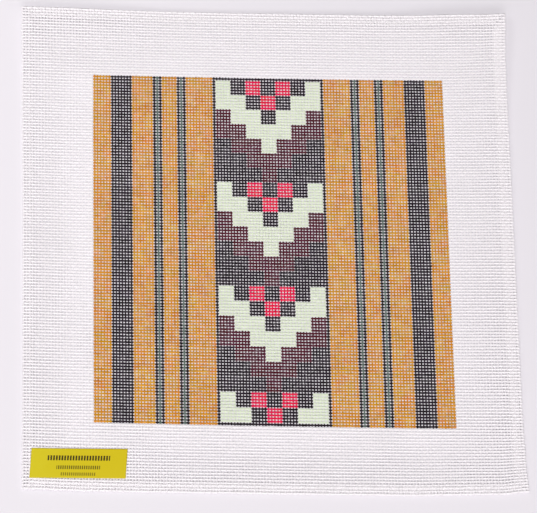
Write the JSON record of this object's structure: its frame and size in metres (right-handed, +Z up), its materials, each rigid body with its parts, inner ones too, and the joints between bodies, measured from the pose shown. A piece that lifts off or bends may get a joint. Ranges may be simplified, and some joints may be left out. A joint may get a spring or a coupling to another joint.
{
  "type": "needlepoint canvas panel",
  "caption": "Square of open mono canvas lying flat, painted in its middle with a charted striped design to stitch over, with stitched hems and a small plain label in one corner.",
  "frame": {"origin": "on the surface that the panel lies on, under the middle of the box round the panel", "axes": "+Z up out of the painted face, +X along the near edge to the right, +Y towards the far edge, with the label at -X and -Y"},
  "size_m": [0.3316, 0.3178, 0.0068],
  "materials": {
    "canvas": "matte",
    "label": "satin"
  },
  "bodies": {
    "root": {"canvas": "canvas", "label": "label"}
  },
  "joints": []
}
